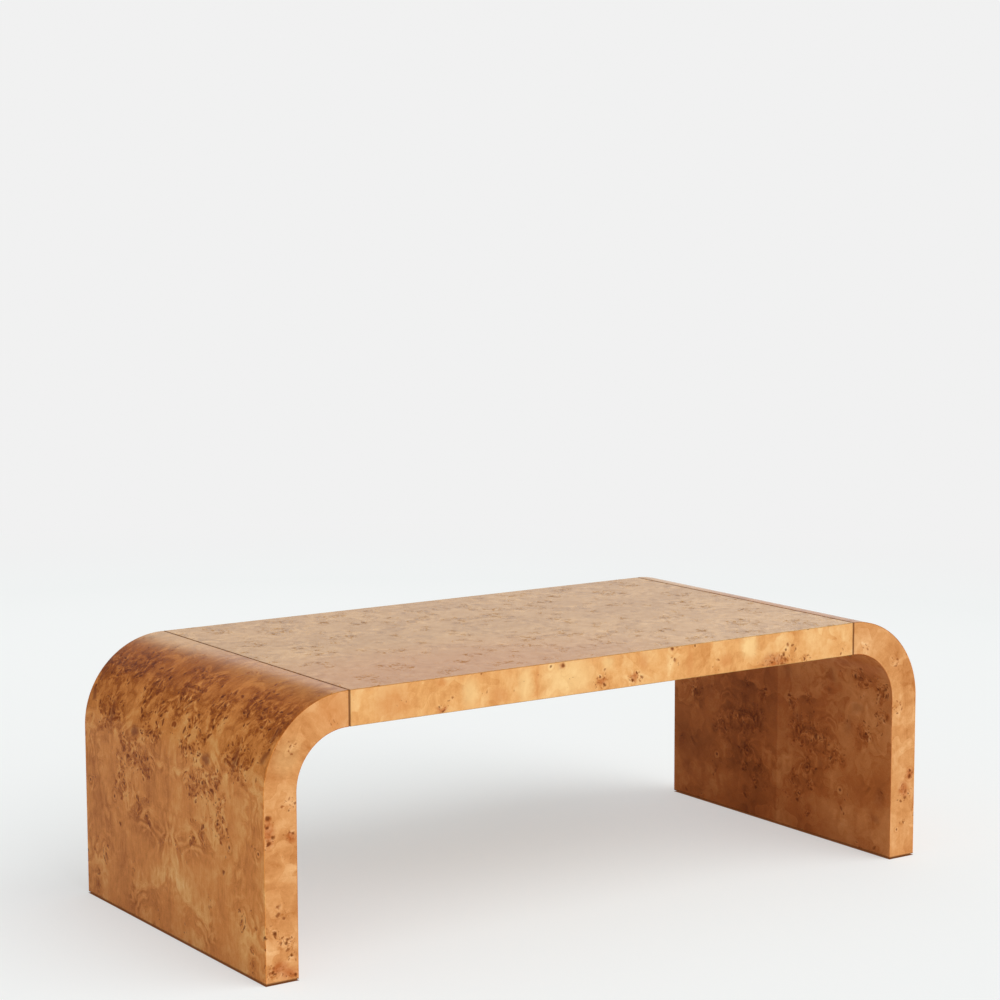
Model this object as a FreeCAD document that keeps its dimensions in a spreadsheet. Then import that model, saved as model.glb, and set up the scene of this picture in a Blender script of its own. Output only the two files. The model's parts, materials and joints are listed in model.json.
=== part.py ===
import FreeCAD, Part
import math
import os
import Sketcher
from FreeCAD import Placement, Rotation, Vector

# Waterfall coffee table: a hollow veneered top and two bent, hollow end sections that turn down
# into slab legs. Each end section is pulled against the top at a seam with dowels and studs.
# X runs along the table, -Y is the front, Z is up. The origin is on the floor, under the middle.
# The pieces of an end are drawn for the right-hand end. The left-hand end is the same pieces
# turned half round about Z.

SIZES = [
    # the whole table
    ("table_length", 1300),
    ("table_depth", 610),
    ("table_height", 430),
    ("slab_thickness", 56),
    ("bend_outer_radius", 145),
    ("seam_flat", 3),               # flat stretch between the bend and the seam
    ("foot_gap", 2.5),              # the wood stands this far off the floor, on its glides
    # what the hollow slabs are made of
    ("veneer_sheet", 1),
    ("panel_board", 9),
    ("rib_board", 18),
    ("end_rail_width", 36),
    ("foot_rail_height", 45),
    ("joint_rail_angle", 24),       # degrees of the bend that the joint rail fills
    ("cross_rib_count", 4),
    ("middle_rib_count", 2),
    ("seam_groove", 1.5),           # width of the line between the veneers of two sections
    # the seam's dowels, and the studs that stand halfway between them
    ("snug_play", 0.05),            # round pieces in their holes, all round
    ("end_room", 1),                # left free past the end of what stands in a blind hole
    ("dowel_diameter", 10),
    ("dowel_length", 50),
    ("dowel_count", 4),
    ("dowel_end_distance", 16),     # from the end of the rail to the first dowel
    ("stud_diameter", 8),
    ("stud_hole_play", 0.5),
    ("stud_spare", 5),              # thread that stands out past the nut
    ("insert_diameter", 12),
    ("insert_length", 25),
    ("washer_diameter", 20),
    ("washer_thickness", 2),
    ("washer_play", 0.2),
    ("nut_width", 13),
    ("nut_height", 6.5),
    # the spanner pockets under the top, and their caps
    ("pocket_diameter", 40),
    ("cap_rim_width", 3),
    ("cap_rim_thickness", 1.2),
    ("cap_rim_slope", 0.6),
    ("cap_collar_wall", 1.5),
    ("cap_collar_height", 8),
    # the glides under the legs
    ("glide_diameter", 24),
    ("glide_slope", 0.8),
    ("glide_stem_diameter", 6),
    ("glide_stem_length", 14),
    ("glide_count", 4),
    ("glide_end_distance", 16),     # from the end of the foot rail to the first glide
]

# Places and sizes that follow from the driving sizes, written as expressions of the sheet.
SIZE = "Sizes."
DEPTH = SIZE + "table_depth"
HEIGHT = SIZE + "table_height"
SLAB = SIZE + "slab_thickness"
BEND = SIZE + "bend_outer_radius"
FLAT = SIZE + "seam_flat"
GAP = SIZE + "foot_gap"
SHEET = SIZE + "veneer_sheet"
PANEL = SIZE + "panel_board"
RIB = SIZE + "rib_board"
SNUG = SIZE + "snug_play"
ROOM = SIZE + "end_room"

HALF_LENGTH = f"({SIZE}table_length / 2)"
BEND_X = f"({HALF_LENGTH} - {BEND})"
BEND_Z = f"({HEIGHT} - {BEND})"
SEAM_X = f"({BEND_X} - {FLAT})"
LEG_X = f"({HALF_LENGTH} - {SLAB} / 2)"
LEG_DROP = f"({BEND_Z} - {GAP})"
UNDERSIDE_Z = f"({HEIGHT} - {SLAB})"
MIDDLE_Z = f"({HEIGHT} - {SLAB} / 2)"

BOARD_DEPTH = f"({DEPTH} - 2 * {SHEET})"
INNER_DEPTH = f"({BOARD_DEPTH} - 2 * {RIB})"
RIB_Y = f"(({INNER_DEPTH} + {RIB}) / 2)"
EDGE_Y = f"(({DEPTH} - {SHEET}) / 2)"

# Radii of the layers about the centre of the bend, from the outside in.
OUTER_PANEL = f"({BEND} - {SHEET})"
CORE_OUTER = f"({OUTER_PANEL} - {PANEL})"
INNER_FACE = f"({BEND} - {SLAB})"
INNER_PANEL = f"({INNER_FACE} + {SHEET})"
CORE_INNER = f"({INNER_PANEL} + {PANEL})"
CORE = f"({CORE_OUTER} - {CORE_INNER})"
MIDDLE = f"({BEND} - {SLAB} / 2)"
RAIL_START = f"(90 - {SIZE}joint_rail_angle)"

VENEER_END = f"({SIZE}seam_groove / 2)"
RAIL_X = f"({SEAM_X} - {SIZE}end_rail_width)"
NUT_X = f"({RAIL_X} - {SIZE}washer_thickness - {SIZE}nut_height)"
POCKET_X = f"({RAIL_X} - {SIZE}pocket_diameter / 2)"
DOWEL_HOLE = f"({SIZE}dowel_length / 2 + {ROOM})"

# Rows along the depth of the table: the pitch, and how many stand in the row.
DOWEL_PITCH = f"(({INNER_DEPTH} - 2 * {SIZE}dowel_end_distance) / ({SIZE}dowel_count - 1))"
DOWELS = (DOWEL_PITCH, SIZE + "dowel_count")
STUDS = (DOWEL_PITCH, f"({SIZE}dowel_count - 1)")
GLIDES = (f"(({INNER_DEPTH} - 2 * {SIZE}glide_end_distance) / ({SIZE}glide_count - 1))",
          SIZE + "glide_count")

ALONG_X = Rotation(Vector(0, 1, 0), 90)
UPRIGHT = Rotation()
HALF_TURN = Rotation(Vector(0, 0, 1), 180)

doc = FreeCAD.newDocument("waterfall_table")
sheet = doc.addObject("Spreadsheet::Sheet", "Sizes")
for line, (alias, value) in enumerate(SIZES, start=1):
    sheet.set(f"A{line}", alias)
    sheet.set(f"B{line}", str(value))
    sheet.setAlias(f"B{line}", alias)
doc.recompute()

pieces = []


def value_of(expression):
    return float(sheet.evalExpression(expression))


def bind(feature, **sizes):
    """Tie a feature's sizes to the sheet."""
    for size, expression in sizes.items():
        feature.setExpression(size, expression)


def origin_part(body, role):
    return next(part for part in body.Origin.OriginFeatures if part.Role == role)


def new_piece(label):
    body = doc.addObject("PartDesign::Body", label)
    body.AllowCompound = True
    pieces.append(body)
    return body


def place(body, x, y, z, side="right"):
    """Put the body's own origin at x, y, z of the right-hand end, or turned round to the left."""
    turned = side == "left"
    sign = -1 if turned else 1
    body.Placement = Placement(Vector(), HALF_TURN if turned else UPRIGHT)
    body.setExpression("Placement.Base.x", f"{sign} * ({x})")
    body.setExpression("Placement.Base.y", f"{sign} * ({y})")
    body.setExpression("Placement.Base.z", z)


def add(body, kind, name, x, y, z, turn=UPRIGHT, **sizes):
    """Add a primitive to the body at x, y, z of the body's own frame."""
    feature = body.newObject(f"PartDesign::{kind}", f"{body.Label}_{name}")
    bind(feature, **sizes)
    feature.Placement = Placement(Vector(), turn)
    feature.setExpression("Placement.Base.x", x)
    feature.setExpression("Placement.Base.y", y)
    feature.setExpression("Placement.Base.z", z)
    return feature


def first_of(row):
    """Where the first of a row centred on Y = 0 stands."""
    pitch, count = row
    return f"-({pitch} * ({count} - 1) / 2)"


def repeat(body, features, row):
    """Repeat features along the depth of the table."""
    pitch, count = row
    pattern = body.newObject("PartDesign::LinearPattern", f"{features[0].Name}_row")
    pattern.Originals = features
    pattern.Direction = (origin_part(body, "Y_Axis"), [""])
    pattern.Mode = "Spacing"
    bind(pattern, Offset=pitch, Occurrences=count)
    body.Tip = pattern
    doc.recompute()


def drill(body, name, diameter, depth, x, z, turn, row):
    """Drill a row of holes into the body, each from x, z."""
    doc.recompute()
    before = body.Shape.Volume
    hole = add(body, "SubtractiveCylinder", name, x, first_of(row), z, turn,
               Radius=f"({diameter}) / 2", Height=depth)
    repeat(body, [hole], row)
    if body.Shape.Volume >= before:
        raise RuntimeError(f"{body.Label}: {name} cut nothing")


def board(label, size_x, size_y, size_z):
    """A flat board, centred on its own origin in X and Y, with Z up from its lower face."""
    body = new_piece(label)
    add(body, "AdditiveBox", "board", f"-({size_x}) / 2", f"-({size_y}) / 2", "0",
        Length=size_x, Width=size_y, Height=size_z)
    return body


# ---- bent layers -----------------------------------------------------------------------------
# Each layer of a bent end is drawn about the centre of the bend: a quarter ring, a leg that goes
# straight down from it, and a short flat that runs from its crown to the seam.


class BentProfile:
    """A closed sketch between two radii about the centre of the bend."""

    def __init__(self, body, outer, inner):
        self.sketch = body.newObject("Sketcher::SketchObject", f"{body.Label}_profile")
        self.sketch.AttachmentSupport = [(origin_part(body, "XZ_Plane"), "")]
        self.sketch.MapMode = "FlatFace"
        self.body = body
        self.outer = value_of(outer)
        self.inner = value_of(inner)
        doc.recompute()

    def fix(self, kind, *where):
        return self.sketch.addConstraint(Sketcher.Constraint(kind, *where))

    def measure(self, kind, expression, *where):
        index = self.fix(kind, *where, value_of(expression))
        self.sketch.setExpression(f"Constraints[{index}]", expression)

    def line(self, start, end):
        return self.sketch.addGeometry(Part.LineSegment(Vector(*start, 0), Vector(*end, 0)), False)

    def arc(self, radius, low, high):
        """An arc about the centre of the bend, from angle low to angle high."""
        circle = Part.Circle(Vector(), Vector(0, 0, 1), value_of(radius))
        arc = self.sketch.addGeometry(Part.ArcOfCircle(circle, low, high), False)
        self.fix("Coincident", arc, 3, -1, 1)
        self.measure("Radius", radius, arc)
        return arc

    def leg(self, drop):
        """The straight leg below the bend: outer line, foot and inner line."""
        foot_z = -value_of(drop)
        outer_line = self.line((self.outer, 0), (self.outer, foot_z))
        foot_line = self.line((self.outer, foot_z), (self.inner, foot_z))
        inner_line = self.line((self.inner, foot_z), (self.inner, 0))
        self.fix("Vertical", outer_line)
        self.fix("Horizontal", foot_line)
        self.fix("Vertical", inner_line)
        self.measure("DistanceY", drop, outer_line, 2, -1, 1)
        return [(outer_line, 1, 2), (foot_line, 1, 2), (inner_line, 1, 2)]

    def crown(self, flat):
        """The short flat between the crown of the bend and the seam."""
        seam_x = -value_of(flat)
        lower_line = self.line((0, self.inner), (seam_x, self.inner))
        seam_line = self.line((seam_x, self.inner), (seam_x, self.outer))
        upper_line = self.line((seam_x, self.outer), (0, self.outer))
        self.fix("Horizontal", lower_line)
        self.fix("Vertical", seam_line)
        self.fix("Horizontal", upper_line)
        self.measure("DistanceX", flat, seam_line, 1, -1, 1)
        return [(lower_line, 1, 2), (seam_line, 1, 2), (upper_line, 1, 2)]

    def square_end(self, degrees):
        """A straight end across the layer, on a line through the centre of the bend."""
        angle = math.radians(value_of(degrees))
        ray = Vector(math.cos(angle), math.sin(angle), 0)
        end_line = self.line((ray * self.inner)[:2], (ray * self.outer)[:2])
        self.fix("PointOnObject", -1, 1, end_line)
        index = self.fix("Angle", end_line, angle)
        self.sketch.setExpression(f"Constraints[{index}]", f"{degrees} * 1 deg")
        return end_line

    def pad(self, edges, width):
        """Join each edge, given as its number, start and end, to the next, and pad the loop."""
        for (edge, _, end), (following, start, _) in zip(edges, edges[1:] + edges[:1]):
            self.fix("Coincident", edge, end, following, start)
        pad = self.body.newObject("PartDesign::Pad", f"{self.body.Label}_width")
        pad.Profile = self.sketch
        pad.SideType = "Symmetric"
        bind(pad, Length=width)
        doc.recompute()


def bent_layer(label, side, outer, inner, width, y, flat=FLAT):
    """A layer that runs the whole way from the foot, round the bend, to the seam."""
    body = new_piece(label)
    profile = BentProfile(body, outer, inner)
    inner_arc = profile.arc(inner, 0, math.pi / 2)
    outer_arc = profile.arc(outer, 0, math.pi / 2)
    for arc in (inner_arc, outer_arc):
        profile.fix("PointOnObject", arc, 1, -1)
        profile.fix("PointOnObject", arc, 2, -2)
    leg = profile.leg(LEG_DROP)
    crown = profile.crown(flat)
    profile.pad(leg + [(inner_arc, 1, 2)] + crown + [(outer_arc, 2, 1)], width)
    place(body, BEND_X, y, BEND_Z, side)


def middle_rib(label, side, y):
    """A rib inside the bent end, from the top of the foot rail to the joint rail."""
    body = new_piece(label)
    profile = BentProfile(body, CORE_OUTER, CORE_INNER)
    stop = math.radians(value_of(RAIL_START))
    inner_arc = profile.arc(CORE_INNER, 0, stop)
    outer_arc = profile.arc(CORE_OUTER, 0, stop)
    for arc in (inner_arc, outer_arc):
        profile.fix("PointOnObject", arc, 1, -1)
    leg = profile.leg(f"({LEG_DROP} - {SIZE}foot_rail_height)")
    end_line = profile.square_end(RAIL_START)
    profile.pad(leg + [(inner_arc, 1, 2), (end_line, 1, 2), (outer_arc, 2, 1)], RIB)
    place(body, BEND_X, y, BEND_Z, side)


def joint_rail(label, side):
    """The solid rail at the crown of the bend, drilled for the dowels and inserts."""
    body = new_piece(label)
    profile = BentProfile(body, CORE_OUTER, CORE_INNER)
    start = math.radians(value_of(RAIL_START))
    inner_arc = profile.arc(CORE_INNER, start, math.pi / 2)
    outer_arc = profile.arc(CORE_OUTER, start, math.pi / 2)
    for arc in (inner_arc, outer_arc):
        profile.fix("PointOnObject", arc, 2, -2)
    crown = profile.crown(FLAT)
    end_line = profile.square_end(RAIL_START)
    profile.pad([(inner_arc, 1, 2)] + crown + [(outer_arc, 2, 1), (end_line, 2, 1)], INNER_DEPTH)
    drill(body, "dowel_holes", SIZE + "dowel_diameter", DOWEL_HOLE,
          f"-{FLAT}", MIDDLE, ALONG_X, DOWELS)
    drill(body, "insert_holes", SIZE + "insert_diameter", f"({SIZE}insert_length + {ROOM})",
          f"-{FLAT}", MIDDLE, ALONG_X, STUDS)
    place(body, BEND_X, "0", BEND_Z, side)


# ---- the top ---------------------------------------------------------------------------------


def drill_pockets(body):
    """The round holes that let a spanner in to the nuts, at both ends of the top."""
    for side, x in (("left", f"-{POCKET_X}"), ("right", POCKET_X)):
        drill(body, f"{side}_pockets", SIZE + "pocket_diameter", SLAB, x, "0", UPRIGHT, STUDS)


def make_top_faces():
    board_x = f"(2 * {SEAM_X})"
    veneer_x = f"(2 * ({SEAM_X} - {VENEER_END}))"
    face = board("top_face_veneer", veneer_x, DEPTH, SHEET)
    place(face, "0", "0", f"({HEIGHT} - {SHEET})")
    upper = board("top_upper_panel", board_x, BOARD_DEPTH, PANEL)
    place(upper, "0", "0", f"({HEIGHT} - {SHEET} - {PANEL})")
    lower = board("top_lower_panel", board_x, BOARD_DEPTH, PANEL)
    drill_pockets(lower)
    place(lower, "0", "0", f"({UNDERSIDE_Z} + {SHEET})")
    under = board("top_underside_veneer", veneer_x, DEPTH, SHEET)
    drill_pockets(under)
    place(under, "0", "0", UNDERSIDE_Z)
    for name, sign in (("front", "-"), ("back", "")):
        edge = board(f"top_{name}_edge_veneer", veneer_x, SHEET, f"({SLAB} - 2 * {SHEET})")
        place(edge, "0", f"{sign}{EDGE_Y}", f"({UNDERSIDE_Z} + {SHEET})")


def make_top_frame():
    core_z = f"({UNDERSIDE_Z} + {SHEET} + {PANEL})"
    for name, sign in (("front", "-"), ("back", "")):
        rail = board(f"top_{name}_rail", f"(2 * {SEAM_X})", RIB, CORE)
        place(rail, "0", f"{sign}{RIB_Y}", core_z)

    width = SIZE + "end_rail_width"
    for side in ("left", "right"):
        rail = board(f"top_{side}_end_rail", width, INNER_DEPTH, CORE)
        drill(rail, "stud_holes", f"({SIZE}stud_diameter + 2 * {SIZE}stud_hole_play)", width,
              f"-{width} / 2", f"{CORE} / 2", ALONG_X, STUDS)
        drill(rail, "dowel_holes", SIZE + "dowel_diameter", DOWEL_HOLE,
              f"{width} / 2 - {DOWEL_HOLE}", f"{CORE} / 2", ALONG_X, DOWELS)
        place(rail, f"({SEAM_X} - {width} / 2)", "0", core_z, side)

    for number in range(1, int(sheet.cross_rib_count) + 1):
        rib = board(f"top_cross_rib_{number}", RIB, INNER_DEPTH, CORE)
        share = f"({number} / ({SIZE}cross_rib_count + 1) * 2 - 1)"
        place(rib, f"{RAIL_X} * {share}", "0", core_z)


# ---- the ends --------------------------------------------------------------------------------


def make_end_layers(side):
    veneer_flat = f"({FLAT} - {VENEER_END})"
    bent_layer(f"{side}_outer_veneer", side, BEND, OUTER_PANEL, DEPTH, "0", veneer_flat)
    bent_layer(f"{side}_outer_bent_panel", side, OUTER_PANEL, CORE_OUTER, BOARD_DEPTH, "0")
    bent_layer(f"{side}_inner_bent_panel", side, CORE_INNER, INNER_PANEL, BOARD_DEPTH, "0")
    bent_layer(f"{side}_inner_veneer", side, INNER_PANEL, INNER_FACE, DEPTH, "0", veneer_flat)
    front_sign, back_sign = ("-", "") if side == "right" else ("", "-")
    for name, sign in (("front", front_sign), ("back", back_sign)):
        bent_layer(f"{side}_{name}_rib", side, CORE_OUTER, CORE_INNER, RIB, sign + RIB_Y)
        bent_layer(f"{side}_{name}_edge_veneer", side, OUTER_PANEL, INNER_PANEL, SHEET,
                   sign + EDGE_Y, veneer_flat)


def make_end_frame(side):
    for number in range(1, int(sheet.middle_rib_count) + 1):
        share = f"({number} / ({SIZE}middle_rib_count + 1) - 0.5)"
        middle_rib(f"{side}_middle_rib_{number}", side, f"{INNER_DEPTH} * {share}")
    joint_rail(f"{side}_joint_rail", side)
    foot = board(f"{side}_foot_rail", CORE, INNER_DEPTH, SIZE + "foot_rail_height")
    drill(foot, "glide_holes", f"({SIZE}glide_stem_diameter + 2 * {SNUG})",
          f"({SIZE}glide_stem_length + {ROOM})", "0", "0", UPRIGHT, GLIDES)
    place(foot, LEG_X, "0", GAP, side)


def make_glides(side):
    """Push-in glides: a disc with a sloped lower rim, and a stem up into the foot rail."""
    glides = new_piece(f"{side}_foot_glides")
    first = first_of(GLIDES)
    radius = f"({SIZE}glide_diameter / 2)"
    slope = SIZE + "glide_slope"
    rim = add(glides, "AdditiveCone", "rim", "0", first, "0",
              Radius1=f"({radius} - {slope})", Radius2=radius, Height=slope)
    disc = add(glides, "AdditiveCylinder", "disc", "0", first, slope,
               Radius=radius, Height=f"({GAP} - {slope})")
    stem = add(glides, "AdditiveCylinder", "stem", "0", first, GAP,
               Radius=f"({SIZE}glide_stem_diameter / 2)", Height=SIZE + "glide_stem_length")
    repeat(glides, [rim, disc, stem], GLIDES)
    place(glides, LEG_X, "0", "0", side)


# ---- what holds the seams --------------------------------------------------------------------


def rod_along_x(body, kind, name, diameter, length, x, row):
    """A round bar or bore along X at the middle of the slab, the first of its row."""
    return add(body, kind, name, x, first_of(row), "0", ALONG_X,
               Radius=f"({diameter}) / 2", Height=length)


def make_seam(side):
    stud = SIZE + "stud_diameter"
    insert = SIZE + "insert_length"
    washer = SIZE + "washer_thickness"
    nut = SIZE + "nut_height"
    thread = f"({stud} + 2 * {SNUG})"
    bar, bore = "AdditiveCylinder", "SubtractiveCylinder"

    dowels = new_piece(f"{side}_seam_dowels")
    dowel = rod_along_x(dowels, bar, "dowel", f"({SIZE}dowel_diameter - 2 * {SNUG})",
                        SIZE + "dowel_length", f"({SEAM_X} - {SIZE}dowel_length / 2)", DOWELS)
    repeat(dowels, [dowel], DOWELS)

    inserts = new_piece(f"{side}_seam_inserts")
    sleeve = rod_along_x(inserts, bar, "sleeve", f"({SIZE}insert_diameter - 2 * {SNUG})", insert,
                         SEAM_X, STUDS)
    hole = rod_along_x(inserts, bore, "thread", thread, insert, SEAM_X, STUDS)
    repeat(inserts, [sleeve, hole], STUDS)

    studs = new_piece(f"{side}_seam_studs")
    start = f"({NUT_X} - {SIZE}stud_spare)"
    rod = rod_along_x(studs, bar, "rod", stud, f"({SEAM_X} + {insert} - {start})", start, STUDS)
    repeat(studs, [rod], STUDS)

    washers = new_piece(f"{side}_seam_washers")
    washer_x = f"({RAIL_X} - {washer})"
    plate = rod_along_x(washers, bar, "plate", SIZE + "washer_diameter", washer, washer_x, STUDS)
    hole = rod_along_x(washers, bore, "hole", f"({stud} + 2 * {SIZE}washer_play)", washer,
                       washer_x, STUDS)
    repeat(washers, [plate, hole], STUDS)

    nuts = new_piece(f"{side}_seam_nuts")
    hexagon = add(nuts, "AdditivePrism", "hexagon", NUT_X, first_of(STUDS), "0", ALONG_X,
                  Circumradius=f"{SIZE}nut_width / sqrt(3)", Height=nut)
    hexagon.Polygon = 6
    hole = rod_along_x(nuts, bore, "thread", thread, nut, NUT_X, STUDS)
    repeat(nuts, [hexagon, hole], STUDS)

    for body in (dowels, inserts, studs, washers, nuts):
        place(body, "0", "0", MIDDLE_Z, side)


def make_pocket_caps(side):
    """Push-in caps: a thin rim under the table and a collar up inside the pocket."""
    caps = new_piece(f"{side}_pocket_caps")
    first = first_of(STUDS)
    rim_radius = f"({SIZE}pocket_diameter / 2 + {SIZE}cap_rim_width)"
    collar_radius = f"({SIZE}pocket_diameter / 2 - {SNUG})"
    slope = SIZE + "cap_rim_slope"
    thickness = SIZE + "cap_rim_thickness"
    collar_height = SIZE + "cap_collar_height"
    edge = add(caps, "AdditiveCone", "edge", "0", first, f"-{thickness}",
               Radius1=f"({rim_radius} - {slope})", Radius2=rim_radius, Height=slope)
    rim = add(caps, "AdditiveCylinder", "rim", "0", first, f"({slope} - {thickness})",
              Radius=rim_radius, Height=f"({thickness} - {slope})")
    collar = add(caps, "AdditiveCylinder", "collar", "0", first, "0",
                 Radius=collar_radius, Height=collar_height)
    hollow = add(caps, "SubtractiveCylinder", "hollow", "0", first, "0",
                 Radius=f"({collar_radius} - {SIZE}cap_collar_wall)", Height=collar_height)
    repeat(caps, [edge, rim, collar, hollow], STUDS)
    place(caps, POCKET_X, "0", UNDERSIDE_Z, side)


# ---- build, test and write -------------------------------------------------------------------


make_top_faces()
make_top_frame()
for end in ("left", "right"):
    make_end_layers(end)
    make_end_frame(end)
    make_glides(end)
    make_seam(end)
    make_pocket_caps(end)
doc.recompute()

for thing in doc.Objects:
    if "Invalid" in thing.State or "Error" in thing.State:
        raise RuntimeError(f"{thing.Label} failed: {thing.State}")
for piece in pieces:
    if piece.Shape.isNull() or not piece.Shape.isValid() or not piece.Shape.Solids:
        raise RuntimeError(f"{piece.Label} has no valid solid")

os.makedirs("parts", exist_ok=True)
for piece in pieces:
    piece.Shape.exportStep(f"parts/{piece.Label}.step")
print(len(pieces), "pieces,", sum(len(piece.Shape.Solids) for piece in pieces), "solids")
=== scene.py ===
"""Waterfall coffee table: burl veneer sheets and finishes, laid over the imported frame."""

import json
import math

import bpy
from mathutils import Matrix, Vector


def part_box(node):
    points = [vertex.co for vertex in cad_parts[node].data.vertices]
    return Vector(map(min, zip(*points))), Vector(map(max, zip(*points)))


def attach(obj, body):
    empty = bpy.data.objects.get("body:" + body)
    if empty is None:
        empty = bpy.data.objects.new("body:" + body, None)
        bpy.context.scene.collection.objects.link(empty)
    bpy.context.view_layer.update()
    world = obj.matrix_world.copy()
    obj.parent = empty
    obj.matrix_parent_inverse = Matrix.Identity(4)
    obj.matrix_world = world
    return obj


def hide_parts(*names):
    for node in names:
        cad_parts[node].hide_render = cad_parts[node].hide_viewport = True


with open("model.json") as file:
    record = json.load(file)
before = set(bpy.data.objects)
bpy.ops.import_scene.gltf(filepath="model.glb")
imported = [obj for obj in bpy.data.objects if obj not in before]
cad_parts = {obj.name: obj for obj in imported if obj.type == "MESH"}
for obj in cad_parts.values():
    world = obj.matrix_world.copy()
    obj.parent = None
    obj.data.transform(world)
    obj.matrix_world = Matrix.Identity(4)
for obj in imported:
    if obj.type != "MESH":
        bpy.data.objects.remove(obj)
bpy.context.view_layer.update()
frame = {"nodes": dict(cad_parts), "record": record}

# ---------------------------------------------------------------- sizes, metres
TOP_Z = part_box("top_face_veneer")[1].z
SLAB = TOP_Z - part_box("top_underside_veneer")[0].z
HALF_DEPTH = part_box("top_face_veneer")[1].y
HALF_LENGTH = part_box("right_outer_veneer")[1].x
TOP_END_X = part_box("top_face_veneer")[1].x
LEG_END_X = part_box("right_outer_veneer")[0].x
SEAM_X = (TOP_END_X + LEG_END_X) / 2
FOOT_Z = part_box("right_outer_veneer")[0].z
SHEET = HALF_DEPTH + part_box("top_front_edge_veneer")[1].y

# The bend, as the outer sheet, the edge strips' middle line and the inner sheet follow it.
OUTER_RADIUS = 0.145
MIDDLE_RADIUS = OUTER_RADIUS - SLAB / 2
INNER_RADIUS = OUTER_RADIUS - SLAB
BEND_X = HALF_LENGTH - OUTER_RADIUS
BEND_Z = TOP_Z - OUTER_RADIUS
BEND_STEPS = 64

# The arris that sanding leaves.
EASING = 0.0006
EASING_STEPS = 3
SMOOTH_ANGLE = math.radians(40)

NEAR = 1e-5
SIDES = (("left", -1), ("right", 1))
FACES = (("front", -1), ("back", 1))


# ---------------------------------------------------------------- modelling
def deselect_all():
    for thing in bpy.context.selected_objects:
        thing.select_set(False)


def take(name):
    """Names the primitive just added and fixes its size and place in its mesh."""
    piece = bpy.context.object
    piece.name = name
    piece.data.name = name
    bpy.ops.object.transform_apply(location=True, rotation=True, scale=True)
    return piece


def select_edges(piece, chosen):
    """Selects the edges whose two ends pass chosen(end, other end)."""
    mesh = piece.data
    for part in (mesh.vertices, mesh.edges, mesh.polygons):
        part.foreach_set("select", [False] * len(part))
    for edge in mesh.edges:
        ends = [mesh.vertices[i].co for i in edge.vertices]
        if chosen(*ends):
            edge.select = True
            for i in edge.vertices:
                mesh.vertices[i].select = True


def ease_edges(piece, chosen):
    """Rounds the chosen edges over, as sanding does, and evens out the shading."""
    select_edges(piece, chosen)
    bpy.ops.object.mode_set(mode="EDIT")
    bpy.ops.mesh.select_mode(type="EDGE")
    bpy.ops.mesh.bevel(offset=EASING, segments=EASING_STEPS, profile=0.5, affect="EDGES")
    bpy.ops.mesh.select_all(action="SELECT")
    bpy.ops.mesh.normals_make_consistent(inside=False)
    bpy.ops.mesh.select_all(action="DESELECT")
    bpy.ops.object.mode_set(mode="OBJECT")
    bpy.ops.object.shade_smooth_by_angle(angle=SMOOTH_ANGLE)
    even = piece.modifiers.new("even shading", "WEIGHTED_NORMAL")
    even.keep_sharp = True
    bpy.ops.object.modifier_apply(modifier=even.name)


def flat_sheet(name, low, high):
    """A sheet of the top, between two corners."""
    deselect_all()
    low = Vector(low)
    high = Vector(high)
    bpy.ops.mesh.primitive_cube_add(size=1, location=(low + high) / 2)
    bpy.context.object.scale = high - low
    return take(name)


def bent_sheet(name, side, skin, back, low_y, high_y):
    """A sheet of one end, from the seam round the bend and down to the foot.

    skin and back are how deep its two faces lie under the table's outer face.
    """
    deselect_all()
    middle = (side * LEG_END_X, (low_y + high_y) / 2, TOP_Z - (skin + back) / 2)
    bpy.ops.mesh.primitive_plane_add(size=1, location=middle, rotation=(0, math.pi / 2, 0))
    bpy.context.object.scale = (back - skin, high_y - low_y, 1)
    piece = take(name)
    bpy.ops.object.mode_set(mode="EDIT")
    bpy.ops.mesh.select_mode(type="FACE")
    bpy.ops.mesh.select_all(action="SELECT")
    straight = (side * (BEND_X - LEG_END_X), 0, 0)
    bpy.ops.mesh.extrude_region_move(TRANSFORM_OT_translate={"value": straight})
    bpy.ops.mesh.spin(steps=BEND_STEPS, angle=-side * math.pi / 2, axis=(0, 1, 0),
                      center=(side * BEND_X, 0, BEND_Z))
    down = (0, 0, FOOT_Z - BEND_Z)
    bpy.ops.mesh.extrude_region_move(TRANSFORM_OT_translate={"value": down})
    bpy.ops.mesh.select_all(action="SELECT")
    bpy.ops.mesh.remove_doubles(threshold=NEAR)
    bpy.ops.mesh.normals_make_consistent(inside=False)
    bpy.ops.object.mode_set(mode="OBJECT")
    return piece


def depth_under(point):
    """How deep a point lies under the table's outer face, measured square to it."""
    out = abs(point.x)
    if out <= BEND_X:
        return TOP_Z - point.z
    if point.z <= BEND_Z:
        return HALF_LENGTH - out
    return OUTER_RADIUS - math.hypot(out - BEND_X, point.z - BEND_Z)


def run_down_leg(height, radius):
    """How far a height on the straight of a leg is from the seam along the slab."""
    return BEND_X - SEAM_X + radius * math.pi / 2 + BEND_Z - height


def run_from_seam(point, radius):
    """How far a point is from the seam along the slab, with its bend at that radius."""
    out = abs(point.x)
    if out <= BEND_X:
        return out - SEAM_X
    if point.z <= BEND_Z:
        return run_down_leg(point.z, radius)
    return BEND_X - SEAM_X + radius * math.atan2(out - BEND_X, point.z - BEND_Z)


# How a leaf lies on its piece: each of these gives a point's place across it and along it.
def on_top(point):
    return point.y, point.x


def on_top_edge(point):
    return depth_under(point), point.x


def on_end(radius):
    return lambda point: (point.y, run_from_seam(point, radius))


def on_leg_edge(point):
    return depth_under(point), run_from_seam(point, MIDDLE_RADIUS)


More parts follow.
